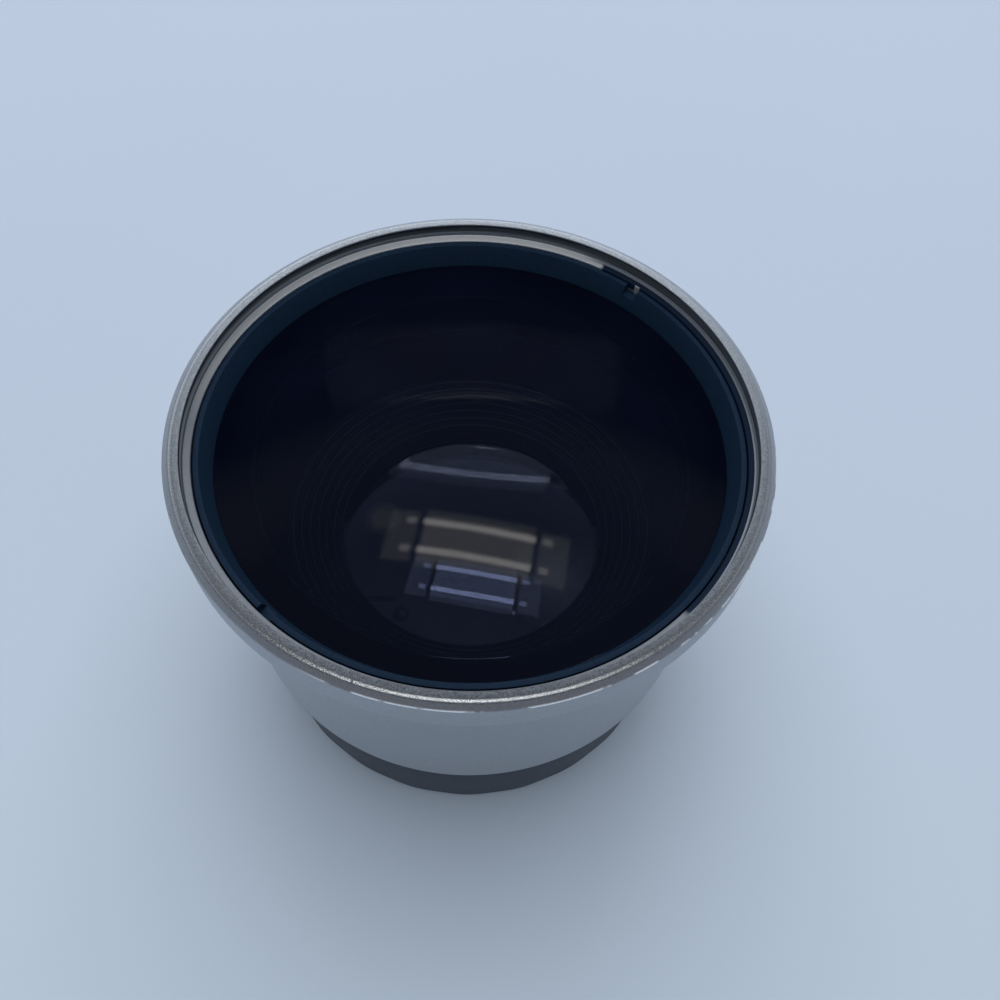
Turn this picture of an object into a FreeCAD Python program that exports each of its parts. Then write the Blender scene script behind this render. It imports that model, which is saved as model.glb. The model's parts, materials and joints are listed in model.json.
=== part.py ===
"""Wide angle converter lens, standing on its rear cap with the front glass up.

Millimetres. The origin is the centre of the rear cap's underside, and +Z runs along the optical
axis to the front glass. Depths are measured down from the barrel's front rim.
"""
import FreeCAD
import Part
import math
import os

# Rear mount and rear pair of lenses: the radii outside them build up from here
mount_thread_r = 18.5
mount_wall = 3.62
mount_thread_len = 4.5
mount_face = 4.2
relief_w = 0.8
relief_d = 0.6
lens_gap = 0.12
rear_seat_w = 1.46
rear_front_curve = 376.0
cement_curve = 60.0
rear_back_curve = 101.0
crown_edge = 1.6
flint_centre = 3.04
cement_gap = 0.04
dome_margin = 0.1
rear_ring_h = 1.4

# Baffle tube
baffle_rise = 4.45
baffle_len = 4.5
baffle_steps = 7
throat_land = 0.3
tube_wall = 1.35
skirt_len = 2.4
skirt_wall = 0.9
screw_gap = 0.12

# Front glass and its cell
front_seat_w = 3.53
front_curve = 110.0
front_back_curve = 45.0
front_centre = 2.0
cell_lip = 1.0
cell_step = 0.62
step_relief = 0.15

# Front retaining ring
ring_w = 1.15
ring_top_w = 0.42
ring_h = 1.92
ring_land = 0.12
ring_drop = 0.08
slot_w = 1.3
slot_d = 0.8
slot_angle = 49.0

# Barrel
barrel_len = 23.0
filter_depth = 1.4
ledge_w = 0.58
rim_wall = 1.3
edge_w = 0.65
edge_h = 0.36
head_h = 3.05
neck_step = 1.45
neck_h = 2.15
taper_in = 0.9
rear_edge = 0.2

# Rear cap
cap_h = 11.0
cap_wall = 1.9
cap_floor = 1.6
cap_gap = 0.3
cap_draft = 0.3
cap_edge = 0.6
cap_facets = 24
cap_flat = 0.08
cap_lead = 0.4

# Worked out from the sizes above, from the rear to the front
rear_bore_r = mount_thread_r - mount_wall
rear_lens_r = rear_bore_r - lens_gap
throat_r = rear_lens_r - rear_seat_w
tube_r = throat_r + baffle_rise
tube_out_r = tube_r + tube_wall
bore_r = tube_out_r + screw_gap
front_lens_r = tube_r + front_seat_w
cell_r = front_lens_r + lens_gap
ring_thread_r = cell_r + cell_step
filter_r = ring_thread_r + ledge_w
head_r = filter_r + rim_wall
lip_r = head_r - edge_w
neck_r = head_r - neck_step
rear_r = neck_r - taper_in
ring_out_r = ring_thread_r - screw_gap
ring_bore_r = ring_out_r - ring_w
cap_bore_r = mount_thread_r + cap_gap
cap_r = cap_bore_r + cap_wall

# Depths of the seats below the rim
ring_top = filter_depth + ring_drop
front_seat = ring_top + ring_h
mount_front = barrel_len - mount_face
mount_rear = barrel_len + mount_thread_len
rim_z = cap_h + barrel_len


def sag(curve, radius):
    """Height of a spherical cap of this curvature over this radius."""
    return curve - math.sqrt(curve * curve - radius * radius)


front_dome_r = ring_bore_r - dome_margin
front_vertex = front_seat - sag(front_curve, front_dome_r)
front_back_vertex = front_vertex + front_centre
front_rear_seat = front_back_vertex + sag(front_back_curve, tube_r)
lip_rear = front_rear_seat + cell_lip
baffle_top = mount_front - throat_land - baffle_len
rear_dome_r = throat_r - dome_margin
rear_vertex = mount_front - sag(rear_front_curve, rear_dome_r)
cement_edge = mount_front + crown_edge
cement_vertex = cement_edge + sag(cement_curve, rear_dome_r)
flint_vertex = cement_vertex + cement_gap + flint_centre
flint_seat = flint_vertex - sag(rear_back_curve, rear_dome_r)


def at(radius, depth):
    """Point of a turned profile, from its radius and its depth below the rim."""
    return FreeCAD.Vector(radius, 0, rim_z - depth)


def bow(start, end, curve):
    """Arc of a spherical face between two profile points; a negative curve bulges to the rear."""
    side = math.copysign(1.0, curve)
    middle_r = (start.x + end.x) / 2
    fall = side * (sag(abs(curve), middle_r) - sag(abs(curve), start.x))
    return Part.Arc(start, FreeCAD.Vector(middle_r, 0, start.z - fall), end).toShape()


def turned(*outline):
    """Solid turned about Z from profile points in order, with arcs between some of them."""
    edges = []
    ends = []
    for item in outline:
        is_arc = isinstance(item, Part.Shape)
        start = item.firstVertex().Point if is_arc else item
        if ends and ends[-1].distanceToPoint(start) > 1e-7:
            edges.append(Part.makeLine(ends[-1], start))
        ends.append(start)
        if is_arc:
            edges.append(item)
            ends.append(item.lastVertex().Point)
    if ends[-1].distanceToPoint(ends[0]) > 1e-7:
        edges.append(Part.makeLine(ends[-1], ends[0]))
    face = Part.Face(Part.Wire(edges))
    return face.revolve(FreeCAD.Vector(), FreeCAD.Vector(0, 0, 1), 360)


def slotted(ring, outer, inner, depth, height, angle):
    """Cut two opposite spanner slots down into the top of a ring."""
    length = outer - inner
    for turn in (angle, angle + 180):
        slot = Part.makeBox(length, slot_w, height, FreeCAD.Vector(inner, -slot_w / 2, rim_z - depth))
        slot.rotate(FreeCAD.Vector(), FreeCAD.Vector(0, 0, 1), turn)
        ring = ring.cut(slot)
    return ring


def barrel():
    """Silver shell: plain head, taper, filter thread wall, front cell, lip and rear bore."""
    return turned(
        at(filter_r, 0), at(lip_r, 0), at(head_r, edge_h), at(head_r, head_h),
        at(neck_r, head_h + neck_h), at(rear_r, barrel_len - rear_edge),
        at(rear_r - rear_edge, barrel_len), at(bore_r, barrel_len),
        at(bore_r, lip_rear), at(tube_r, lip_rear), at(tube_r, front_rear_seat),
        at(cell_r, front_rear_seat), at(cell_r, front_seat + step_relief),
        at(ring_thread_r, front_seat + step_relief), at(ring_thread_r, filter_depth),
        at(filter_r, filter_depth))


def front_retaining_ring():
    """Black ring over the front glass: flat top, conical inner face, two spanner slots."""
    ring = turned(
        at(ring_out_r, ring_top), at(ring_out_r, front_seat), at(ring_bore_r, front_seat),
        at(ring_bore_r, front_seat - ring_land), at(ring_out_r - ring_top_w, ring_top))
    return slotted(ring, head_r, ring_bore_r - slot_w, ring_top + slot_d, ring_h, slot_angle)


def front_lens():
    """Thick negative meniscus with a flat seat at each end of its edge."""
    front = bow(at(0, front_vertex), at(front_dome_r, front_seat), front_curve)
    back = bow(at(tube_r, front_rear_seat), at(0, front_back_vertex), front_back_curve)
    return turned(
        front, at(front_lens_r, front_seat), at(front_lens_r, front_rear_seat), back)


def baffle_tube():
    """Black tube behind the front glass that closes in fine steps to the rear glass."""
    rise = baffle_rise / baffle_steps
    pitch = baffle_len / baffle_steps
    steps = [at(tube_r, lip_rear), at(tube_r, baffle_top)]
    for index in range(baffle_steps):
        radius = tube_r - index * rise
        top = baffle_top + index * pitch
        steps += [at(radius, top + 0.6 * pitch), at(radius - rise, top + pitch)]
    spigot_r = tube_out_r - skirt_wall - screw_gap
    spigot_top = mount_front - skirt_len - step_relief
    return turned(
        *steps, at(throat_r, mount_front), at(spigot_r, mount_front),
        at(spigot_r, spigot_top), at(tube_out_r, spigot_top), at(tube_out_r, lip_rear))


def rear_lens_front():
    """Front element of the rear pair, convex on both sides."""
    front = bow(at(0, rear_vertex), at(rear_dome_r, mount_front), rear_front_curve)
    middle = bow(at(rear_dome_r, cement_edge), at(0, cement_vertex), -cement_curve)
    return turned(front, at(rear_lens_r, mount_front), at(rear_lens_r, cement_edge), middle)


def rear_lens_rear():
    """Rear element of the rear pair, hollow to the front and slightly convex behind."""
    top = cement_edge + cement_gap
    middle = bow(at(0, cement_vertex + cement_gap), at(rear_dome_r, top), -cement_curve)
    back = bow(at(rear_dome_r, flint_seat), at(0, flint_vertex), -rear_back_curve)
    return turned(
        middle, at(rear_dome_r, cement_edge), at(rear_lens_r, cement_edge),
        at(rear_lens_r, flint_seat), back)


def rear_retaining_ring():
    """Black ring that holds the rear pair from behind, with two slots in its rear face."""
    rear = flint_seat + rear_ring_h
    ring = turned(
        at(throat_r, flint_seat), at(rear_lens_r, flint_seat), at(rear_lens_r, rear),
        at(throat_r + rear_ring_h / 2, rear))
    return slotted(ring, head_r, throat_r - slot_w, rear, slot_d / 2, slot_angle)


def mount_ring():
    """Black rear ring: skirt in the barrel, face for the camera and the male mount thread."""
    skirt_r = tube_out_r - skirt_wall
    relief_r = mount_thread_r - relief_d
    return turned(
        at(rear_bore_r, mount_front), at(skirt_r, mount_front), at(skirt_r, mount_front - skirt_len),
        at(tube_out_r, mount_front - skirt_len), at(tube_out_r, barrel_len),
        at(relief_r, barrel_len), at(relief_r, barrel_len + relief_w),
        at(mount_thread_r, barrel_len + relief_w), at(mount_thread_r, mount_rear),
        at(rear_bore_r, mount_rear))


def flats_ring(radius, height):
    """Closed wire of the cap's grip flats at one height, just inside this radius."""
    corner_r = (radius - cap_flat) / math.cos(math.pi / cap_facets)
    corners = []
    for index in range(cap_facets):
        turn = 2 * math.pi * index / cap_facets
        corners.append(FreeCAD.Vector(corner_r * math.cos(turn), corner_r * math.sin(turn), height))
    return Part.makePolygon(corners + corners[:1])


def rear_cap():
    """Dark plastic screw cap with broad shallow grip flats, a chamfered foot and a plain inner wall."""
    base_r = cap_r - cap_draft
    body = turned(
        FreeCAD.Vector(0, 0, 0), FreeCAD.Vector(base_r - cap_edge, 0, 0),
        FreeCAD.Vector(base_r, 0, cap_edge), FreeCAD.Vector(cap_r, 0, cap_h),
        FreeCAD.Vector(cap_bore_r + cap_lead, 0, cap_h),
        FreeCAD.Vector(cap_bore_r, 0, cap_h - cap_lead), FreeCAD.Vector(cap_bore_r, 0, cap_floor),
        FreeCAD.Vector(0, 0, cap_floor))
    flats = Part.makeLoft([flats_ring(base_r, 0), flats_ring(cap_r, cap_h)], True, True)
    return body.common(flats)


pieces = [
    barrel, front_retaining_ring, front_lens, baffle_tube, rear_lens_front, rear_lens_rear,
    rear_retaining_ring, mount_ring, rear_cap]

os.makedirs("parts", exist_ok=True)
for piece in pieces:
    solid = piece()
    if solid.ShapeType != "Solid":
        solid = solid.Solids[0]
    solid.exportStep("parts/" + piece.__name__ + ".step")
    box = solid.BoundBox
    print(piece.__name__, "valid", solid.isValid(), "volume", round(solid.Volume, 1),
          "z", round(box.ZMin, 2), round(box.ZMax, 2), "r", round(box.XMax, 2))
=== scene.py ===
import bmesh
import bpy
import json
import math
from mathutils import Matrix, Vector


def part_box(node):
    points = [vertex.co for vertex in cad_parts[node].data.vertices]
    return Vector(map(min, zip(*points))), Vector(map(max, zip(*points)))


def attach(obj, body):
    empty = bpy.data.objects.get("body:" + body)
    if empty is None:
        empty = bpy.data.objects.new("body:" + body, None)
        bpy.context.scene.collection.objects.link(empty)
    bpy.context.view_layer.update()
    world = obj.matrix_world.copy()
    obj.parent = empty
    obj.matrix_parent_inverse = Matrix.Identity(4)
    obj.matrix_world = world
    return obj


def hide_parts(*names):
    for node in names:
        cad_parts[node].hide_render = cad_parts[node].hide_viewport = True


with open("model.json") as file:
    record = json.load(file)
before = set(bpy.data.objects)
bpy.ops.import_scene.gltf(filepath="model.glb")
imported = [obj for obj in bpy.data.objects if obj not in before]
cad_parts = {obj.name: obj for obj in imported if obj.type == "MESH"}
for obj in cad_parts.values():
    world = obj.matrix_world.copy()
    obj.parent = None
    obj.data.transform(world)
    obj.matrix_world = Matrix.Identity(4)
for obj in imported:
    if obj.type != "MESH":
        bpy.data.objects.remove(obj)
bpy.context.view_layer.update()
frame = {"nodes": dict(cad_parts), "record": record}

# Sizes are millimetres until a mesh is made; depths are measured down from the front rim
MM = 0.001
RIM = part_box("barrel")[1].z / MM
HEAD_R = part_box("barrel")[1].x / MM
BARREL_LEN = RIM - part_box("barrel")[0].z / MM
CAP_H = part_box("rear_cap")[1].z / MM
CAP_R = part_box("rear_cap")[1].x / MM
RING_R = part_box("front_retaining_ring")[1].x / MM
RING_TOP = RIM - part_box("front_retaining_ring")[1].z / MM
FRONT_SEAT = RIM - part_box("front_retaining_ring")[0].z / MM
FRONT_LENS_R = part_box("front_lens")[1].x / MM
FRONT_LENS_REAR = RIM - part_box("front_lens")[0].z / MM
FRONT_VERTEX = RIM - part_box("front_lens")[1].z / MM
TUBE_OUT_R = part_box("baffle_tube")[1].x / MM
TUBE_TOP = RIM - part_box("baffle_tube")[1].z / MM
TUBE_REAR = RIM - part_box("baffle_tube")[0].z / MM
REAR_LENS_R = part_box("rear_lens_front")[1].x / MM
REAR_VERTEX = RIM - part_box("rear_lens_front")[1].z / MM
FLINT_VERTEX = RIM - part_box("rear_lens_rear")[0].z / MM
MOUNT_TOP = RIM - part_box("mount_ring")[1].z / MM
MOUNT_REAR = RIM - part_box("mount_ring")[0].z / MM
MOUNTS = {mount["name"]: mount for mount in frame["record"]["mounts"]}
FILTER_R = MOUNTS["filter_thread"]["dims"]["r_mm"]
FILTER_DEPTH = MOUNTS["filter_thread"]["dims"]["length_mm"]
MOUNT_THREAD_R = MOUNTS["rear_thread"]["dims"]["r_mm"]

# Sizes inside the pieces, the same as in the solids
GAP = 0.12
SEAT_RELIEF = 0.15
EDGE_W = 0.65
EDGE_H = 0.36
HEAD_H = 3.05
NECK_STEP = 1.45
NECK_H = 2.15
TAPER_IN = 0.9
REAR_EDGE = 0.2
CELL_R = FRONT_LENS_R + GAP
RING_THREAD_R = RING_R + GAP
BORE_R = TUBE_OUT_R + GAP
TUBE_R = TUBE_OUT_R - 1.35
RING_BORE_R = RING_R - 1.15
RING_TOP_W = 0.42
RING_LAND = 0.12
SLOT_W = 1.3
SLOT_D = 0.8
SLOT_ANGLE = 49.0
FRONT_CURVE = 110.0
FRONT_BACK_CURVE = 45.0
FRONT_CENTRE = 2.0
THROAT_R = REAR_LENS_R - 1.46
DOME_MARGIN = 0.1
BAFFLE_LEN = 4.5
BAFFLE_STEPS = 7
THROAT_LAND = 0.3
BAFFLE_TOP = TUBE_REAR - THROAT_LAND - BAFFLE_LEN
REAR_FRONT_CURVE = 376.0
REAR_BACK_CURVE = 101.0
REAR_BORE_R = REAR_LENS_R + GAP
SKIRT_WALL = 0.9
RELIEF_W = 0.8
RELIEF_D = 0.6
CAP_BORE_R = CAP_R - 1.9
CAP_FLOOR = 1.6
CAP_DRAFT = 0.3
CAP_EDGE = 0.6
CAP_LEAD = 0.4
CAP_FLATS = 24

# Fine detail that the solids leave out
LIP_BEVEL_IN = 0.11
LIP_BEVEL_OUT = 0.1
LIP_BEVEL_DROP = 0.055
LEDGE_RISE = 0.2
GLASS_EDGE = 0.1
THREAD_PITCH = 0.75
THREAD_ROW = 0.06
FILTER_THREAD_D = 0.3
MOUNT_THREAD_D = 0.42
CAP_THREAD_D = 0.3
CAP_FLAT_D = 0.06
CAP_FOOT_W = 2.4
CAP_RECESS = 0.25
STEPS_ROUND = 288
CAP_STEPS_ROUND = 480
ON_AXIS = 1e-6

# The photograph's view: a camera very close above the front rim
VIEW_LENS = 31.98
VIEW_ELEVATION = 51.62
VIEW_DISTANCE = 70.25
VIEW_TURN = (0.093, 0.0309, -0.0188)

# The ceiling lamp that shows in the glasses, in metres; its depths are in tube spacings
LAMP_PLACE = (0.018, 0.439)
LAMP_HEIGHT = 1.3
LAMP_TURN = -10.1
TUBE_LENGTH = 0.373
TUBE_SPACING = 0.109
TUBE_WIDTH = 0.024
TUBE_END_LENGTH = 0.034
TUBE_END_OUT = 0.042
TRAY_RISE = 0.02
TRAY_DEPTH = 1.6
TRAY_RIM_DEPTH = 2.05
WING_DEPTH = 1.8
WING_LENGTH = 0.1
WING_OUT = 0.02

# Brightness of the lamp's parts and of the room as it shows, where 1 is white
TUBE_GLOW = 2.5
TUBE_END_GLOW = 1.25
TRAY_GLOW = 0.612
TRAY_RIM_GLOW = 0.272
WING_GLOW = 0.306
WALL_GLOW = 0.5
CEILING_GLOW = 0.05

# Soft lamps: name, degrees up from the far side, width and depth in metres, glow, shows in gloss
SOFT_LAMPS = [
    ("overhead", 76, (1.5, 1.1), 1.8, False),
    ("edge_light", 102, (0.9, 0.14), 2.8, True),
    ("far_light", 41, (0.8, 0.3), 2.7, True)]
SOFT_LAMP_DISTANCE = 1.2

# How each glass tones what is seen through a face, and how much it bends light
FRONT_TONE = (0.85, 0.88, 0.94, 1)
FRONT_INDEX = 1.58
REAR_TONE = (0.55, 0.58, 0.63, 1)
REAR_INDEX = 1.60

# Coatings, and the haze on the front glass where it is thin and thick
NEUTRAL_COAT = (0.9, 0.87, 0.83, 1)
VIOLET_COAT = (0.68, 0.74, 1.0, 1)
WARM_COAT = (0.97, 0.9, 0.84, 1)
THIN_HAZE = (0.1333, 0.2333, 0.6917, 1)
THICK_HAZE = (0.1867, 0.3267, 0.9683, 1)
HAZE_SHARE = 0.012

# Marks on the barrel and where its painted highlights fade or lie, in degrees round from the right, and
# where its black inside begins
STAIN_MIDDLE = 6.0
STAIN_REACH = 52.0
NICK_ANGLES = (-57.5, -109.0)
LINE_FADE_MIDDLE = 15.0
DASHES_MIDDLE = -60.0
LEDGE_BOTTOM = RIM - FILTER_DEPTH - 0.6


def colour(red, green, blue):
    """Linear colour from the 0 to 255 values that a screen shows."""
    def linear(value):
        value /= 255
        return value / 12.92 if value <= 0.04045 else ((value + 0.055) / 1.055) ** 2.4
    return (linear(red), linear(green), linear(blue), 1.0)


# Shapes turned about the optical axis
def sag(curve, radius):
    """Height of a spherical cap of this curvature over this radius."""
    return curve - math.sqrt(curve * curve - radius * radius)


def dome(curve, vertex, start_r, end_r, count):
    """Profile points of a spherical face, as radius and depth; a negative curve bulges to the rear."""
    side = math.copysign(1.0, curve)
    points = []
    for index in range(count + 1):
        radius = start_r + (end_r - start_r) * index / count
        points.append((radius, vertex + side * sag(abs(curve), radius)))
    return points


def softened(outline, size):
    """The closed outline with every corner rounded by about this size."""
    points = []
    for index, place in enumerate(outline):
        corner = Vector(place)
        before = Vector(outline[index - 1]) - corner
        after = Vector(outline[(index + 1) % len(outline)]) - corner
        reach = min(size, 0.4 * before.length, 0.4 * after.length)
        first = corner + before.normalized() * reach
        last = corner + after.normalized() * reach
        for share in (0.0, 0.33, 0.67, 1.0):
            near = first.lerp(corner, share)
            far = corner.lerp(last, share)
            points.append(tuple(near.lerp(far, share)))
    return points


def thread_wall(radius, top, bottom, depth, fade=0.25):
    """Profile points of a threaded wall, each with how far the thread moves it; it fades at the ends."""
    rows = max(2, round(abs(bottom - top) / THREAD_ROW))
    points = []
    for index in range(rows + 1):
        level = top + (bottom - top) * index / rows
        edge = min(abs(level - top), abs(bottom - level))
        points.append((radius, level, depth * min(1.0, edge / fade)))
    return points


def thread_shape(radius, depth, share):
    """Height of a screw thread's groove, from 0 at the crest to 1 at the root, at a place round it."""
    place = (depth / THREAD_PITCH - share) % 1.0
    rise = min(place, 1.0 - place) * 2.0
    return min(1.0, max(0.0, (rise - 0.12) / 0.76))


def cap_shape(radius, depth, share):
    """Thread on the cap's inner wall; outside, how far a grip flat sinks, from 0 at its sides to 1."""
    if radius < CAP_BORE_R + 0.5:
        return thread_shape(radius, depth, share)
    place = (share * CAP_FLATS) % 1.0
    across = abs(place - 0.5) * 2.0
    return 0.5 + 0.5 * math.cos(math.pi * across)


def turned_points(outline, steps, shape):
    """Points of each ring of a turned mesh in metres, and where each ring starts among them."""
    starts = []
    points = []
    for place in outline:
        radius, depth = place[:2]
        move = place[2] if len(place) > 2 else 0.0
        height = (RIM - depth) * MM
        starts.append(len(points))
        if radius < ON_AXIS:
            points.append((0, 0, height))
            continue
        for step in range(steps):
            angle = 2 * math.pi * step / steps
            wall = radius
            if move:
                wall += move * shape(radius, depth, step / steps)
            points.append((wall * math.cos(angle) * MM, wall * math.sin(angle) * MM, height))
    return starts, points


def ring_faces(near, far, near_is_point, far_is_point, steps):
    """Faces between two neighbouring rings, either of which may be a point on the axis."""
    if near_is_point and far_is_point:
        return []
    faces = []
    for step in range(steps):
        following = (step + 1) % steps
        if near_is_point:
            faces.append((near, far + step, far + following))
        elif far_is_point:
            faces.append((near + following, near + step, far))
        else:
            faces.append((near + following, near + step, far + step, far + following))
    return faces


def turn(name, outline, closed=True, steps=STEPS_ROUND, shape=thread_shape):
    """Mesh object turned about Z from radius and depth points; a third value lets shape move a point."""
    starts, points = turned_points(outline, steps, shape)
    is_point = [place[0] < ON_AXIS for place in outline]
    count = len(outline)
    faces = []
    for index in range(count if closed else count - 1):
        other = (index + 1) % count
        faces += ring_faces(starts[index], starts[other], is_point[index], is_point[other], steps)
    mesh = bpy.data.meshes.new(name)
    mesh.from_pydata(points, [], faces)
    mesh.polygons.foreach_set("use_smooth", [True] * len(mesh.polygons))
    mesh.set_sharp_from_angle(angle=math.radians(32))
    mesh.update()
    piece = bpy.data.objects.new(name, mesh)
    bpy.context.scene.collection.objects.link(piece)
    return piece


def face_outward(piece):
    """Turn every face of a closed mesh to the outside."""
    shell = bmesh.new()
    shell.from_mesh(piece.data)
    bmesh.ops.recalc_face_normals(shell, faces=shell.faces)
    shell.to_mesh(piece.data)
    shell.free()
    piece.data.update()


def cut_slots(piece, inner, outer, top, depth, width):
    """Cut two opposite spanner slots into a ring."""
    for turn_angle in (SLOT_ANGLE, SLOT_ANGLE + 180):
        angle = math.radians(turn_angle)
        middle = (inner + outer) / 2
        bpy.ops.mesh.primitive_cube_add(size=1)
        cutter = bpy.context.object
        cutter.location = (middle * math.cos(angle) * MM, middle * math.sin(angle) * MM,
                           (RIM - top) * MM)
        cutter.scale = ((outer - inner) * MM, width * MM, 2 * depth * MM)
        cutter.rotation_euler = (0, 0, angle)
        cut = piece.modifiers.new("slot", "BOOLEAN")
        cut.object = cutter
        cut.operation = "DIFFERENCE"
        cut.solver = "EXACT"
        bpy.context.view_layer.update()
        bpy.context.view_layer.objects.active = piece
        bpy.ops.object.modifier_apply(modifier=cut.name)
        bpy.data.objects.remove(cutter)


# Camera
def make_camera():
    """Camera of the photograph's view, worked out from its distance, height and small turn."""
    elevation = math.radians(VIEW_ELEVATION)
    back = Vector((0, -math.cos(elevation), math.sin(elevation)))
    side = Vector((1, 0, 0))
    look = Matrix((side, back.cross(side), back))
    turn_axis = Vector(VIEW_TURN)
    small_turn = Matrix.Rotation(turn_axis.length, 3, turn_axis.normalized())
    world_to_view = small_turn @ look
    data = bpy.data.cameras.new("photo_view")
    data.lens = VIEW_LENS
    data.sensor_width = 36.0
    data.clip_start = 0.005
    camera = bpy.data.objects.new("photo_view", data)
    camera.rotation_mode = "QUATERNION"
    camera.rotation_quaternion = world_to_view.transposed().to_quaternion()
    camera.location = (Vector((0, 0, RIM)) + back * VIEW_DISTANCE) * MM
    bpy.context.scene.collection.objects.link(camera)
    bpy.context.scene.camera = camera


make_camera()


# Shader helpers
class Nodes:
    """Short hand for making and joining shader nodes in one tree."""

    def __init__(self, tree):
        self.tree = tree

    def add(self, kind, **settings):
        """A new node with its settings."""
        node = self.tree.nodes.new(kind)
        for key, value in settings.items():
            setattr(node, key, value)
        return node

    def join(self, source, target):
        """Link an output to an input."""
        self.tree.links.new(source, target)

    def math(self, operation, first, second=None, clamp=False):
        """Result of a Math node on numbers or other nodes' outputs."""
        node = self.add("ShaderNodeMath", operation=operation, use_clamp=clamp)
        for socket, value in zip(node.inputs, (first, second)):
            if value is None:
                continue
            if isinstance(value, (int, float)):
                socket.default_value = value
            else:
                self.join(value, socket)
        return node.outputs[0]

    def plus(self, first, second, clamp=False):
        """First plus second."""
        return self.math("ADD", first, second, clamp)

    def minus(self, first, second, clamp=False):
        """First minus second."""
        return self.math("SUBTRACT", first, second, clamp)

    def times(self, first, second):
        """First times second, or where both of two masks are."""
        return self.math("MULTIPLY", first, second)

    def divide(self, first, second, clamp=False):
        """First divided by second."""
        return self.math("DIVIDE", first, second, clamp)

    def either(self, first, second):
        """The larger of two masks."""
        return self.math("MAXIMUM", first, second)

    def below(self, value, limit):
        """1 where the value is under the limit."""
        return self.math("LESS_THAN", value, limit)

    def above(self, value, limit):
        """1 where the value is over the limit."""
        return self.math("GREATER_THAN", value, limit)

    def spread(self, value, low, high, out_low=0.0, out_high=1.0):
        """The value's range from low to high, stretched to another range and held at its ends."""
        node = self.add("ShaderNodeMapRange")
        node.inputs["From Min"].default_value = low
        node.inputs["From Max"].default_value = high
        node.inputs["To Min"].default_value = out_low
        node.inputs["To Max"].default_value = out_high
        self.join(value, node.inputs["Value"])
        return node.outputs["Result"]

    def blend(self, amount, first, second):
        """First colour where the amount is 0, second where it is 1."""
        node = self.add("ShaderNodeMix", data_type="RGBA")
        self.join(amount, node.inputs["Factor"])
        for socket, value in ((node.inputs["A"], first), (node.inputs["B"], second)):
            if isinstance(value, tuple):
                socket.default_value = value
            else:
                self.join(value, socket)
        return node.outputs["Result"]

    def place(self, kind="Object"):
        """X, Y and Z outputs of the object's own coordinates, or of another kind."""
        parts = self.add("ShaderNodeSeparateXYZ")
        self.join(self.add("ShaderNodeTexCoord").outputs[kind], parts.inputs[0])
        return parts.outputs

    def noise(self, scale, detail):
        """Noise node over the object's own coordinates; scale is a number or another node's output."""
        node = self.add("ShaderNodeTexNoise")
        self.join(self.add("ShaderNodeTexCoord").outputs["Object"], node.inputs["Vector"])
        if isinstance(scale, float):
            node.inputs["Scale"].default_value = scale
        else:
            self.join(scale, node.inputs["Scale"])
        node.inputs["Detail"].default_value = detail
        return node


def make_group(name, inputs, outputs):
    """Empty shader node group with named float inputs and outputs."""
    group = bpy.data.node_groups.new(name, "ShaderNodeTree")
    for label, value in inputs:
        socket = group.interface.new_socket(label, in_out="INPUT", socket_type="NodeSocketFloat")
        socket.default_value = value
    for label in outputs:
        group.interface.new_socket(label, in_out="OUTPUT", socket_type="NodeSocketFloat")
    nodes = Nodes(group)
    start = nodes.add("NodeGroupInput")
    end = nodes.add("NodeGroupOutput")
    return group, nodes, start.outputs, end.inputs


def make_speckle_group():
    """Fine sparkle of a satin finish: a mask of light grains and a height for its bump."""
    group, nodes, given, result = make_group(
        "satin_speckle", [("Scale", 4000.0), ("Contrast", 1.0)], ["Grain", "Height"])
    fine = nodes.noise(given["Scale"], 3.0)
    fine.inputs["Roughness"].default_value = 0.7
    strong = nodes.times(nodes.minus(fine.outputs["Fac"], 0.5), given["Contrast"])
    nodes.join(nodes.plus(strong, 0.5, clamp=True), result["Grain"])
    nodes.join(fine.outputs["Fac"], result["Height"])
    return group


def make_polar_group():
    """Radius in mm, angle in degrees and height in mm of a point about the optical axis."""
    group, nodes, _, result = make_group("about_axis", [], ["Radius", "Angle", "Height"])
    place = nodes.place()
    squares = nodes.plus(nodes.times(place["X"], place["X"]), nodes.times(place["Y"], place["Y"]))
    nodes.join(nodes.divide(nodes.math("SQRT", squares), MM), result["Radius"])
    angle = nodes.math("ARCTAN2", place["Y"], place["X"])
    nodes.join(nodes.times(angle, 180 / math.pi), result["Angle"])
    nodes.join(nodes.divide(place["Z"], MM), result["Height"])
    return group


def make_band_group():
    """1 where a value lies within a half width of a middle, falling to 0 over a soft edge."""
    group, nodes, given, result = make_group(
        "soft_band", [("Value", 0.0), ("Middle", 0.0), ("Half Width", 1.0), ("Soft", 0.1)], ["Mask"])
    away = nodes.math("ABSOLUTE", nodes.minus(given["Value"], given["Middle"]))
    share = nodes.divide(nodes.minus(away, given["Half Width"]), given["Soft"])
    nodes.join(nodes.minus(1.0, share, clamp=True), result["Mask"])
    return group


def make_wear_group():
    """Broken, uneven patches for edge wear and haze, from 0 to 1."""
    group, nodes, given, result = make_group(
        "broken_wear", [("Scale", 600.0), ("Cover", 0.5), ("Soft", 0.1)], ["Mask"])
    patch = nodes.noise(given["Scale"], 2.0)
    over = nodes.minus(given["Cover"], patch.outputs["Fac"])
    nodes.join(nodes.divide(over, given["Soft"], clamp=True), result["Mask"])
    return group


SPECKLE = make_speckle_group()
ABOUT_AXIS = make_polar_group()
SOFT_BAND = make_band_group()
BROKEN_WEAR = make_wear_group()


def new_material(name):
    """Material with its node helper and its Principled shader."""
    material = bpy.data.materials.new(name)
    material.use_nodes = True
    return material, Nodes(material.node_tree), material.node_tree.nodes["Principled BSDF"]


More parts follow.
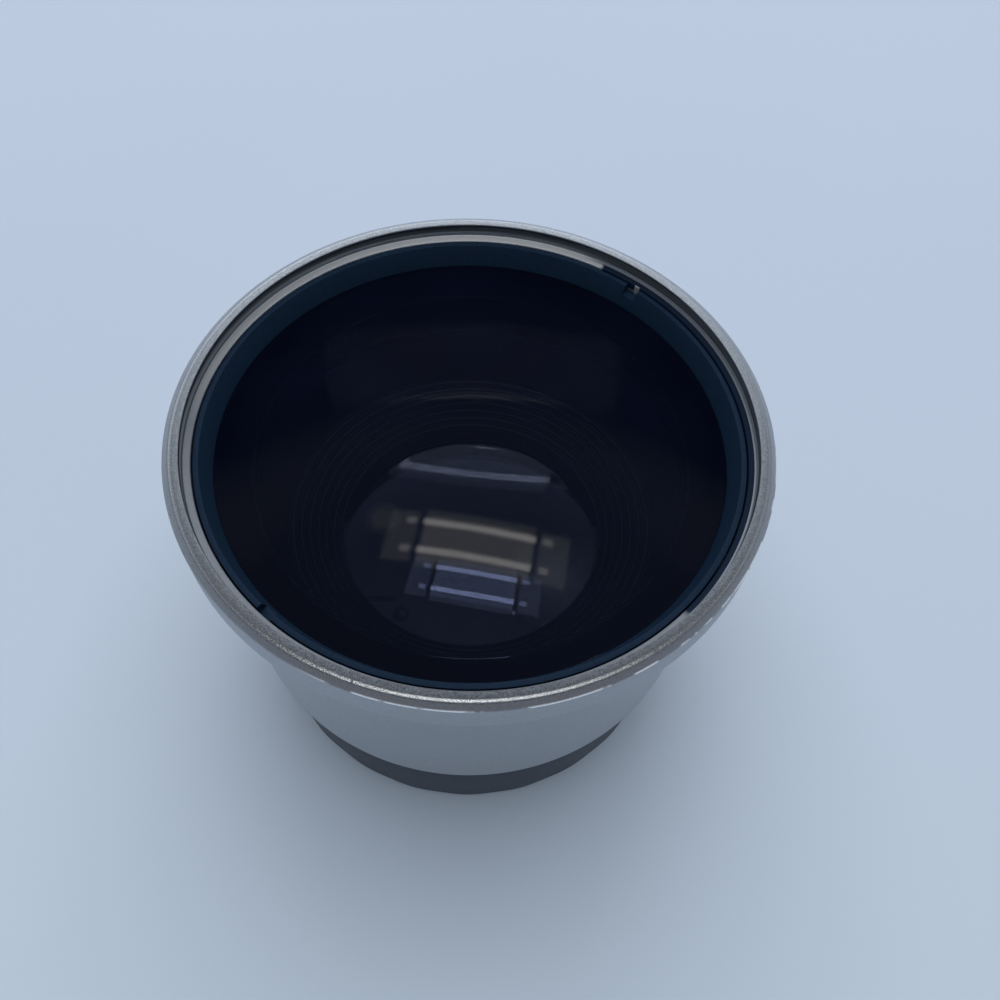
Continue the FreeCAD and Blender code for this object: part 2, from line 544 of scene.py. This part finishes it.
def use_group(nodes, group, **values):
    """Outputs of a node group placed in a material, with its own values or other nodes' outputs."""
    node = nodes.add("ShaderNodeGroup", node_tree=group)
    for key, value in values.items():
        socket = node.inputs[key.replace("_", " ")]
        if isinstance(value, (int, float)):
            socket.default_value = value
        else:
            nodes.join(value, socket)
    return node.outputs


def band(nodes, value, middle, half_width, soft):
    """Mask of one soft band."""
    return use_group(
        nodes, SOFT_BAND, Value=value, Middle=middle, Half_Width=half_width, Soft=soft)["Mask"]


def spot(nodes, x, y, size, stretch=1.0, soft=0.1):
    """Mask of a round or stretched spot about a place in mm, seen from above, with a soft edge."""
    place = nodes.place()
    across = nodes.divide(nodes.minus(nodes.divide(place["X"], MM), x), stretch)
    along = nodes.minus(nodes.divide(place["Y"], MM), y)
    reach = nodes.math("SQRT", nodes.plus(nodes.times(across, across), nodes.times(along, along)))
    share = nodes.divide(nodes.minus(reach, size), soft)
    return nodes.minus(1.0, share, clamp=True)


def add_bump(nodes, shader, height, strength, distance):
    """Feed a height into the shader's normal."""
    bump = nodes.add("ShaderNodeBump")
    bump.inputs["Strength"].default_value = strength
    bump.inputs["Distance"].default_value = distance
    nodes.join(height, bump.inputs["Height"])
    nodes.join(bump.outputs["Normal"], shader.inputs["Normal"])


def add_grain(nodes, shader, grain, rough, strength, distance=0.00002):
    """Roughness between two values and a fine bump, both from the speckle."""
    nodes.join(nodes.spread(grain["Grain"], 0.0, 1.0, *rough), shader.inputs["Roughness"])
    add_bump(nodes, shader, grain["Height"], strength, distance)


# Silver finish of the barrel
# Near white of bare polished metal, also used for painted highlights
RUBBED_AND_HIGHLIGHT = colour(244, 248, 252)


def lip_and_taper(nodes, axis, side, coarse, fine):
    """Satin taper under a coarser speckled lip; lip and chamfer are painted darker on the near side and
    lighter on the far side, as painted shade and painted light.
    """
    on_lip = nodes.spread(axis["Height"], RIM - EDGE_H - 0.06, RIM - EDGE_H + 0.02)
    # Lip tone by side: painted shade on the near side, painted light on the far side
    near_tone = nodes.blend(coarse, colour(104, 110, 118), colour(160, 168, 178))
    far_tone = nodes.blend(coarse, colour(176, 184, 194), colour(204, 213, 223))
    lip_tone = nodes.blend(nodes.spread(side, -1.0, 0.6), near_tone, far_tone)
    taper_tone = nodes.blend(fine, colour(160, 163, 168), colour(181, 185, 190))
    base = nodes.blend(on_lip, taper_tone, lip_tone)
    on_chamfer = nodes.times(on_lip, nodes.spread(axis["Radius"], HEAD_R - 0.5, HEAD_R - 0.4))
    # Chamfer tone by side: painted shade near, painted light far
    to_far = nodes.spread(side, -0.9, -0.1)
    chamfer_tone = nodes.blend(to_far, colour(168, 170, 177), colour(204, 210, 218))
    return on_lip, nodes.blend(nodes.times(on_chamfer, 0.65), base, chamfer_tone)


def thread_and_ledge(nodes, axis, side, base):
    """Two dark bands of painted shade on the filter thread wall, and the silver ledge below it with a
    painted highlight on the far side.
    """
    on_wall = nodes.below(axis["Radius"], FILTER_R + 0.4)
    # Painted shade: two darker bands down the filter thread wall
    upper = nodes.times(on_wall, band(nodes, axis["Height"], RIM - 0.48, 0.34, 0.08))
    lower = nodes.times(on_wall, band(nodes, axis["Height"], RIM - 1.0, 0.16, 0.1))
    base = nodes.blend(nodes.times(upper, 0.92), base, colour(62, 70, 80))
    base = nodes.blend(nodes.times(lower, 0.55), base, colour(98, 107, 118))
    inside_wall = nodes.below(axis["Radius"], FILTER_R - 0.03)
    on_ledge = nodes.times(inside_wall, nodes.above(axis["Height"], LEDGE_BOTTOM))
    base = nodes.blend(nodes.times(on_ledge, 0.8), base, colour(142, 149, 158))
    # Painted highlight on the far side of the ledge
    far_ledge_highlight = nodes.times(on_ledge, nodes.spread(side, 0.0, 0.6))
    return on_wall, nodes.blend(far_ledge_highlight, base, RUBBED_AND_HIGHLIGHT)


def worn_and_highlit_edges(nodes, axis, base):
    """Line between lip and chamfer, polished and painted as a highlight, faded on one side and broken by
    its nicks, and painted highlight in dashes on the chamfer's outer corner.
    """
    line = band(nodes, axis["Radius"], HEAD_R - EDGE_W, 0.08, 0.05)
    line = nodes.times(line, nodes.above(axis["Height"], RIM - 0.15))
    first, second = (band(nodes, axis["Angle"], angle, 0.1, 0.15) for angle in NICK_ANGLES)
    # Fade of the painted highlight on the right side
    line_fade = nodes.times(band(nodes, axis["Angle"], LINE_FADE_MIDDLE, 25.0, 30.0), 0.75)
    broken = nodes.either(nodes.either(first, second), line_fade)
    line = nodes.times(line, nodes.minus(1.0, broken))
    # Painted highlight along the polished line
    base = nodes.blend(nodes.times(line, 0.9), base, RUBBED_AND_HIGHLIGHT)
    # Painted highlight in broken dashes on the near side of the chamfer's outer corner
    corner = band(nodes, axis["Height"], RIM - EDGE_H, 0.035, 0.03)
    corner = nodes.times(corner, nodes.above(axis["Radius"], HEAD_R - 0.15))
    dashes = use_group(nodes, BROKEN_WEAR, Scale=520.0, Cover=0.57, Soft=0.06)["Mask"]
    near_side = band(nodes, axis["Angle"], DASHES_MIDDLE, 50.0, 10.0)
    worn_corner_highlight = nodes.times(nodes.times(corner, dashes), near_side)
    return nodes.either(line, worn_corner_highlight), nodes.blend(worn_corner_highlight, base, colour(250, 252, 255))


def stained_arc(nodes, axis, on_wall, base):
    """Navy stain on an arc of the ledge, a glint beside the ring's notch, and a thin line above."""
    stained = nodes.below(axis["Radius"], FILTER_R - 0.17)
    stained = nodes.times(stained, nodes.above(axis["Height"], LEDGE_BOTTOM))
    stain = nodes.times(stained, band(nodes, axis["Angle"], STAIN_MIDDLE, STAIN_REACH, 1.5))
    glint = nodes.times(band(nodes, axis["Angle"], SLOT_ANGLE - 0.7, 0.5, 0.2),
                        nodes.below(axis["Radius"], RING_THREAD_R + 0.05))
    stain = nodes.times(stain, nodes.minus(1.0, glint))
    base = nodes.blend(glint, base, colour(236, 240, 246))
    line = band(nodes, axis["Height"], RIM - FILTER_DEPTH + LEDGE_RISE - 0.02, 0.05, 0.04)
    on_arc = nodes.times(on_wall, band(nodes, axis["Angle"], STAIN_MIDDLE, STAIN_REACH, 6.0))
    return stain, nodes.blend(nodes.times(line, on_arc), base, colour(160, 168, 178))


def satin_silver():
    """Satin silver barrel: speckled lip with painted light and shade by side, one bright line of wear
    and painted highlight, thread with painted shade, navy arc, black inside.
    """
    material, nodes, shader = new_material("satin_silver")
    shader.inputs["Specular IOR Level"].default_value = 0.1
    axis = use_group(nodes, ABOUT_AXIS)
    side = nodes.math("SINE", nodes.times(axis["Angle"], math.pi / 180))
    coarse = use_group(nodes, SPECKLE, Scale=8600.0, Contrast=3.2)["Grain"]
    fine = use_group(nodes, SPECKLE, Scale=3200.0, Contrast=0.9)["Grain"]
    on_lip, base = lip_and_taper(nodes, axis, side, coarse, fine)
    on_wall, base = thread_and_ledge(nodes, axis, side, base)
    polished, base = worn_and_highlit_edges(nodes, axis, base)
    stain, base = stained_arc(nodes, axis, on_wall, base)
    under_ledge = nodes.below(axis["Height"], LEDGE_BOTTOM)
    inside = nodes.times(under_ledge, nodes.below(axis["Radius"], BORE_R + 2.2))
    black = nodes.either(stain, inside)
    black_tone = nodes.blend(stain, colour(3, 7, 15), colour(14, 30, 52))
    nodes.join(nodes.blend(black, base, black_tone), shader.inputs["Base Color"])
    nodes.join(nodes.minus(1.0, black), shader.inputs["Metallic"])
    grain = nodes.blend(on_lip, fine, coarse)
    rough = nodes.spread(grain, 0.0, 1.0, 0.58, 0.44)
    nodes.join(nodes.minus(rough, nodes.times(polished, 0.28)), shader.inputs["Roughness"])
    relief = nodes.times(grain, nodes.spread(on_lip, 0.0, 1.0, 0.5, 1.0))
    add_bump(nodes, shader, relief, 0.3, 0.00002)
    return material


# Black and dark finishes
def black_finish(name, tone, rough, gloss, bump):
    """Black finish with a faint uneven sheen, for the rings and the glasses' ground edges."""
    material, nodes, shader = new_material(name)
    shader.inputs["Specular IOR Level"].default_value = gloss
    grain = use_group(nodes, SPECKLE, Scale=2600.0, Contrast=1.6)
    dark = tuple(0.6 * part for part in tone[:3]) + (1.0,)
    nodes.join(nodes.blend(grain["Grain"], dark, tone), shader.inputs["Base Color"])
    add_grain(nodes, shader, grain, rough, bump)
    return material


def baffle_finish():
    """Dull black of the stepped baffle, with a painted highlight along its fine step edges."""
    material, nodes, shader = new_material("baffle_black")
    shader.inputs["Specular IOR Level"].default_value = 0.12
    grain = use_group(nodes, SPECKLE, Scale=2600.0, Contrast=1.6)
    tone = nodes.blend(grain["Grain"], colour(3, 7, 14), colour(8, 14, 25))
    depth = nodes.minus(RIM - BAFFLE_TOP, use_group(nodes, ABOUT_AXIS)["Height"])
    step = nodes.divide(depth, BAFFLE_LEN / BAFFLE_STEPS)
    # Painted highlight along the fine step edges
    edges = band(nodes, nodes.math("FRACT", nodes.plus(step, 0.5)), 0.5, 0.03, 0.09)
    edges = nodes.times(edges, nodes.above(step, 0.5))
    nodes.join(nodes.blend(edges, tone, colour(58, 64, 74)), shader.inputs["Base Color"])
    add_grain(nodes, shader, grain, (0.5, 0.62), 0.3)
    return material


def cap_plastic():
    """Dark slate plastic of the rear cap."""
    material, nodes, shader = new_material("cap_plastic")
    shader.inputs["Specular IOR Level"].default_value = 0.48
    grain = use_group(nodes, SPECKLE, Scale=1800.0, Contrast=1.4)
    tone = nodes.blend(grain["Grain"], colour(15, 28, 43), colour(24, 40, 57))
    nodes.join(tone, shader.inputs["Base Color"])
    add_grain(nodes, shader, grain, (0.36, 0.48), 0.3, 0.00003)
    return material


# Faces of the glasses
def clear_face(name, tone, index):
    """Polished clear glass face that darkens what is seen through it by its tone."""
    material, nodes, shader = new_material(name)
    material.node_tree.nodes.remove(shader)
    clear = nodes.add("ShaderNodeBsdfRefraction")
    clear.inputs["Color"].default_value = tone
    clear.inputs["Roughness"].default_value = 0.0
    clear.inputs["IOR"].default_value = index
    nodes.join(clear.outputs["BSDF"], material.node_tree.nodes["Material Output"].inputs["Surface"])
    return material, nodes, clear


def lay_over(material, nodes, under, over, amount):
    """Lay one shader over another and make the result the surface."""
    both = nodes.add("ShaderNodeMixShader")
    if isinstance(amount, float):
        both.inputs["Fac"].default_value = amount
    else:
        nodes.join(amount, both.inputs["Fac"])
    nodes.join(under.outputs[0], both.inputs[1])
    nodes.join(over.outputs[0], both.inputs[2])
    nodes.join(both.outputs["Shader"], material.node_tree.nodes["Material Output"].inputs["Surface"])
    return both


def add_coating(nodes, tint, rough=0.0):
    """The mirror part of a lens coating."""
    coating = nodes.add("ShaderNodeBsdfAnisotropic")
    coating.inputs["Color"].default_value = tint
    coating.inputs["Roughness"].default_value = rough
    return coating


def front_face():
    """Front of the front glass: faint neutral coating, least at a slant, under a thin blue haze."""
    material, nodes, clear = clear_face("front_coat", FRONT_TONE, FRONT_INDEX)
    slant = nodes.add("ShaderNodeFresnel")
    slant.inputs["IOR"].default_value = FRONT_INDEX
    share = nodes.spread(slant.outputs["Fac"], 0.053, 0.0585, 0.043, 0.001)
    coated = lay_over(material, nodes, clear, add_coating(nodes, NEUTRAL_COAT, 0.04), share)
    haze = nodes.add("ShaderNodeBsdfDiffuse")
    patches = use_group(nodes, BROKEN_WEAR, Scale=120.0, Cover=0.6, Soft=0.4)["Mask"]
    nodes.join(nodes.blend(patches, THIN_HAZE, THICK_HAZE), haze.inputs["Color"])
    lay_over(material, nodes, coated, haze, HAZE_SHARE)
    return material


def rear_face():
    """Front of the rear glass: violet-blue coating, a hair and a ring mark, a brown stain and dust."""
    material, nodes, clear = clear_face("rear_coat", REAR_TONE, REAR_INDEX)
    hair = spot(nodes, -8.6, -8.7, 0.26, 4.6)
    ring_mark = nodes.minus(spot(nodes, -6.6, -10.3, 0.7, 1.0, 0.15), spot(nodes, -6.4, -10.2, 0.3))
    dark = nodes.either(hair, ring_mark)
    nodes.join(nodes.blend(dark, REAR_TONE, (0.02, 0.03, 0.06, 1)), clear.inputs["Color"])
    coated = lay_over(material, nodes, clear, add_coating(nodes, VIOLET_COAT), 0.082)
    stain = nodes.times(spot(nodes, -9.3, 0.4, 0.9, 1.0, 1.2), 0.34)
    smear = nodes.times(spot(nodes, 9.0, -6.5, 0.8, 1.0, 5.0), 0.3)
    speck = spot(nodes, 4.2, -10.0, 0.14)
    dust = nodes.add("ShaderNodeBsdfDiffuse")
    browned = nodes.above(stain, 0.001)
    nodes.join(nodes.blend(browned, (0.7, 0.78, 0.8, 1), (0.9, 0.7, 0.46, 1)), dust.inputs["Color"])
    lay_over(material, nodes, coated, dust, nodes.either(stain, nodes.either(smear, speck)))
    return material


def back_face():
    """Back of the rear glass, with a pale warm coating."""
    material, nodes, clear = clear_face("back_coat", REAR_TONE, REAR_INDEX)
    lay_over(material, nodes, clear, add_coating(nodes, WARM_COAT), 0.11)
    return material


silver = satin_silver()
ring_black = black_finish("ring_black", colour(24, 45, 68), (0.45, 0.6), 0.1, 0.25)
baffle_black = baffle_finish()
mount_black = black_finish("mount_black", colour(22, 26, 32), (0.36, 0.5), 0.4, 0.25)
edge_black = black_finish("edge_black", colour(54, 53, 54), (0.6, 0.7), 0.05, 0.2)
front_coat = front_face()
hidden_coat, _, _ = clear_face("hidden_coat", FRONT_TONE, FRONT_INDEX)
rear_coat = rear_face()
back_coat = back_face()
slate = cap_plastic()


# Pieces
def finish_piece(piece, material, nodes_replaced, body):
    """Give a made piece its outward faces, material and body, and hide the model nodes it replaces."""
    face_outward(piece)
    piece.data.materials.clear()
    piece.data.materials.append(material)
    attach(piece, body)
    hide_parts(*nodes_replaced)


def coat_lens(lens, back_material):
    """Give a lens its back coating and its blackened ground edge; the front face has the first one."""
    lens.data.materials.append(back_material)
    lens.data.materials.append(edge_black)
    for face in lens.data.polygons:
        if face.normal.z < -0.5:
            face.material_index = 1
        elif face.normal.z < 0.5:
            face.material_index = 2


def make_barrel():
    """Silver shell with its lip, chamfered edge, taper, sloped ledge and a real thread in the lip."""
    line_r = HEAD_R - EDGE_W
    neck_r = HEAD_R - NECK_STEP
    rear_r = neck_r - TAPER_IN
    ledge_top = FILTER_DEPTH - LEDGE_RISE
    outline = softened([
        (FILTER_R, 0), (line_r - LIP_BEVEL_IN, 0), (line_r + LIP_BEVEL_OUT, LIP_BEVEL_DROP),
        (HEAD_R, EDGE_H), (HEAD_R, HEAD_H), (neck_r, HEAD_H + NECK_H),
        (rear_r, BARREL_LEN - REAR_EDGE), (rear_r - REAR_EDGE, BARREL_LEN),
        (BORE_R, BARREL_LEN), (BORE_R, TUBE_TOP), (TUBE_R, TUBE_TOP), (TUBE_R, FRONT_LENS_REAR),
        (CELL_R, FRONT_LENS_REAR), (CELL_R, FRONT_SEAT + SEAT_RELIEF),
        (RING_THREAD_R, FRONT_SEAT + SEAT_RELIEF), (RING_THREAD_R, FILTER_DEPTH),
        (FILTER_R, ledge_top)], 0.09)
    wall = thread_wall(FILTER_R, ledge_top - 0.1, 0.1, FILTER_THREAD_D, 0.2)
    barrel = turn("barrel_shell", outline + wall)
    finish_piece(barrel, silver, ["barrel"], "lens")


def make_front_ring():
    """Black retaining ring with a flat top, a steep inner face and two spanner slots."""
    outline = softened([
        (RING_R, RING_TOP), (RING_R, FRONT_SEAT), (RING_BORE_R, FRONT_SEAT),
        (RING_BORE_R, FRONT_SEAT - RING_LAND), (RING_R - RING_TOP_W, RING_TOP)], 0.05)
    ring = turn("front_ring", outline)
    face_outward(ring)
    cut_slots(ring, RING_BORE_R - SLOT_W, HEAD_R, RING_TOP, SLOT_D, SLOT_W)
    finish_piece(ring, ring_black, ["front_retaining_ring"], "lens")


def glass_edge(radius, top, bottom):
    """Profile points of a lens's ground edge with its two small bevels."""
    return [(radius - GLASS_EDGE, top), (radius, top + GLASS_EDGE),
            (radius, bottom - GLASS_EDGE), (radius - GLASS_EDGE, bottom)]


def make_front_glass():
    """Thick meniscus glass with polished faces and a blackened edge."""
    outline = dome(FRONT_CURVE, FRONT_VERTEX, 0, RING_BORE_R - DOME_MARGIN, 40)
    outline += glass_edge(FRONT_LENS_R, FRONT_SEAT, FRONT_LENS_REAR)
    outline += dome(FRONT_BACK_CURVE, FRONT_VERTEX + FRONT_CENTRE, TUBE_R, 0, 60)
    glass = turn("front_glass", outline, closed=False)
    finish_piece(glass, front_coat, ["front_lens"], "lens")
    coat_lens(glass, hidden_coat)


def make_baffle():
    """Black tube that closes to the rear glass in fine steps."""
    rise = (TUBE_R - THROAT_R) / BAFFLE_STEPS
    pitch = BAFFLE_LEN / BAFFLE_STEPS
    outline = [(TUBE_R, TUBE_TOP), (TUBE_R, BAFFLE_TOP)]
    for index in range(BAFFLE_STEPS):
        radius = TUBE_R - index * rise
        top = BAFFLE_TOP + index * pitch
        outline += [(radius, top + 0.6 * pitch), (radius - rise, top + pitch)]
    spigot_r = TUBE_OUT_R - SKIRT_WALL - GAP
    spigot_top = MOUNT_TOP - SEAT_RELIEF
    outline += [(THROAT_R, TUBE_REAR), (spigot_r, TUBE_REAR), (spigot_r, spigot_top),
                (TUBE_OUT_R, spigot_top), (TUBE_OUT_R, TUBE_TOP)]
    tube = turn("baffle", softened(outline, 0.05))
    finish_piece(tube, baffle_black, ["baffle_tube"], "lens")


def make_rear_glass():
    """The cemented rear pair, which shows as one glass, nearly flat in front and convex behind."""
    dome_r = THROAT_R - DOME_MARGIN
    rear_seat = FLINT_VERTEX - sag(REAR_BACK_CURVE, dome_r)
    outline = dome(REAR_FRONT_CURVE, REAR_VERTEX, 0, dome_r, 36)
    outline += glass_edge(REAR_LENS_R, TUBE_REAR, rear_seat)
    outline += dome(-REAR_BACK_CURVE, FLINT_VERTEX, dome_r, 0, 36)
    glass = turn("rear_glass", outline, closed=False)
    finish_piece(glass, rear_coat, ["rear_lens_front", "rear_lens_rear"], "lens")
    coat_lens(glass, back_coat)


def make_mount():
    """Rear black ring with the male mount thread."""
    skirt_r = TUBE_OUT_R - SKIRT_WALL
    relief_r = MOUNT_THREAD_R - RELIEF_D
    thread_top = BARREL_LEN + RELIEF_W
    outline = softened([
        (REAR_BORE_R, MOUNT_REAR), (REAR_BORE_R, TUBE_REAR), (skirt_r, TUBE_REAR),
        (skirt_r, MOUNT_TOP), (TUBE_OUT_R, MOUNT_TOP), (TUBE_OUT_R, BARREL_LEN),
        (relief_r, BARREL_LEN), (relief_r, thread_top - 0.3)], 0.06)
    outline += thread_wall(MOUNT_THREAD_R, thread_top, MOUNT_REAR - 0.2, -MOUNT_THREAD_D)
    outline += [(MOUNT_THREAD_R - 0.3, MOUNT_REAR)]
    ring = turn("mount_thread_ring", outline)
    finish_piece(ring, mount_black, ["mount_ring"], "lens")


def make_cap():
    """Dark screw cap: broad shallow grip flats, chamfered foot, recessed underside, thread inside."""
    top = RIM - CAP_H
    floor = RIM - CAP_FLOOR
    foot = RIM - CAP_EDGE
    base_r = CAP_R - CAP_DRAFT
    flat = -CAP_FLAT_D
    outline = [
        (CAP_R - 0.25, top), (CAP_R - 0.07, top + 0.07, flat), (CAP_R, top + 0.25, flat),
        (base_r, foot - 0.1, flat), (base_r - 0.04, foot + 0.03, flat),
        (base_r - CAP_EDGE + 0.1, RIM - 0.08), (base_r - CAP_EDGE, RIM),
        (base_r - CAP_FOOT_W, RIM), (base_r - CAP_FOOT_W - 0.15, RIM - CAP_RECESS),
        (0, RIM - CAP_RECESS), (0, floor), (CAP_BORE_R - 0.5, floor), (CAP_BORE_R, floor - 0.5)]
    outline += thread_wall(CAP_BORE_R, floor - 1.2, top + CAP_LEAD + 0.1, CAP_THREAD_D)
    outline += [(CAP_BORE_R, top + CAP_LEAD), (CAP_BORE_R + CAP_LEAD, top)]
    cap = turn("cap_shell", outline, steps=CAP_STEPS_ROUND, shape=cap_shape)
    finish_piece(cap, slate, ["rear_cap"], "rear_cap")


def dress_cad_nodes():
    """Material on the node whose solid is shown as it is."""
    for slot in frame["nodes"]["rear_retaining_ring"].material_slots:
        slot.material = mount_black


make_barrel()
make_front_ring()
make_front_glass()
make_baffle()
make_rear_glass()
make_mount()
make_cap()
dress_cad_nodes()


# Floor and light
def make_floor():
    """Pale blue-grey table top, faintly clouded, a little bluer on the far side and painted a little
    lighter on the near side.
    """
    bpy.ops.mesh.primitive_plane_add(size=1.6)
    floor = bpy.context.object
    floor.name = "table_top"
    material, nodes, shader = new_material("table_top")
    # Painted light: the near side a little lighter, the far side a little bluer
    to_far = nodes.spread(nodes.place()["Y"], -0.04, 0.07)
    tone = nodes.blend(to_far, colour(202, 217, 233), colour(201, 215, 236))
    cloud = nodes.spread(nodes.noise(14.0, 1.0).outputs["Fac"], 0.3, 0.7, 0.0, 0.1)
    nodes.join(nodes.blend(cloud, tone, colour(184, 200, 218)), shader.inputs["Base Color"])
    shader.inputs["Roughness"].default_value = 0.75
    shader.inputs["Specular IOR Level"].default_value = 0.15
    floor.data.materials.append(material)


def add_lamp(name, place, size, brightness, turn_angle=0):
    """Area lamp that faces down, with how bright its surface looks; 1 is white."""
    data = bpy.data.lights.new(name, "AREA")
    data.shape = "RECTANGLE"
    data.size, data.size_y = size
    data.energy = brightness * math.pi * size[0] * size[1]
    lamp = bpy.data.objects.new(name, data)
    lamp.location = place
    lamp.rotation_euler = (0, 0, math.radians(turn_angle))
    bpy.context.scene.collection.objects.link(lamp)
    return lamp


def add_soft_lamp(name, elevation, size, brightness, shows):
    """Wide lamp at a height over the far side, aimed at the object; shows puts it in gloss."""
    angle = math.radians(elevation)
    place = Vector((0, math.cos(angle), math.sin(angle))) * SOFT_LAMP_DISTANCE
    lamp = add_lamp(name, place, size, brightness)
    lamp.rotation_euler = place.to_track_quat("Z", "Y").to_euler()
    lamp.visible_glossy = shows
    lamp.visible_transmission = False


def hang_ceiling_lamp():
    """Two tubes with their short end pieces in a pale tray, as they show in the glasses."""
    turned = math.radians(LAMP_TURN)
    along = Vector((math.cos(turned), math.sin(turned), 0))
    across = Vector((-along.y, along.x, 0))
    middle = Vector((LAMP_PLACE[0], LAMP_PLACE[1], LAMP_HEIGHT))
    for side, label in ((-1, "near"), (1, "far")):
        centre = middle + across * side * TUBE_SPACING / 2
        add_lamp("tube_" + label, centre, (TUBE_LENGTH, TUBE_WIDTH), TUBE_GLOW, LAMP_TURN)
        for end in (-1, 1):
            place = centre + along * end * (TUBE_LENGTH / 2 + TUBE_END_OUT)
            size = (TUBE_END_LENGTH, TUBE_WIDTH)
            add_lamp("tube_end_" + label, place, size, TUBE_END_GLOW, LAMP_TURN)
    tray = middle + Vector((0, 0, TRAY_RISE))
    add_lamp("tray", tray, (TUBE_LENGTH, TUBE_SPACING * TRAY_DEPTH), TRAY_GLOW, LAMP_TURN)
    add_lamp("tray_rim", tray, (TUBE_LENGTH, TUBE_SPACING * TRAY_RIM_DEPTH), TRAY_RIM_GLOW, LAMP_TURN)
    for end in (-1, 1):
        place = tray + along * end * (TUBE_LENGTH / 2 + WING_OUT + WING_LENGTH / 2)
        add_lamp("tray_wing", place, (WING_LENGTH, TUBE_SPACING * WING_DEPTH), WING_GLOW, LAMP_TURN)


def light_room():
    """Soft light all round, from pale walls to a darker ceiling."""
    world = bpy.data.worlds.new("room")
    bpy.context.scene.world = world
    world.use_nodes = True
    sky = world.node_tree.nodes["Background"]
    sky.inputs["Color"].default_value = (0.93, 1.0, 1.1, 1)
    nodes = Nodes(world.node_tree)
    glow = nodes.spread(nodes.place("Generated")["Z"], 0.3, 0.85, WALL_GLOW, CEILING_GLOW)
    nodes.join(glow, sky.inputs["Strength"])


make_floor()
hang_ceiling_lamp()
for soft_lamp in SOFT_LAMPS:
    add_soft_lamp(*soft_lamp)
light_room()

bpy.context.scene.view_settings.view_transform = "Standard"
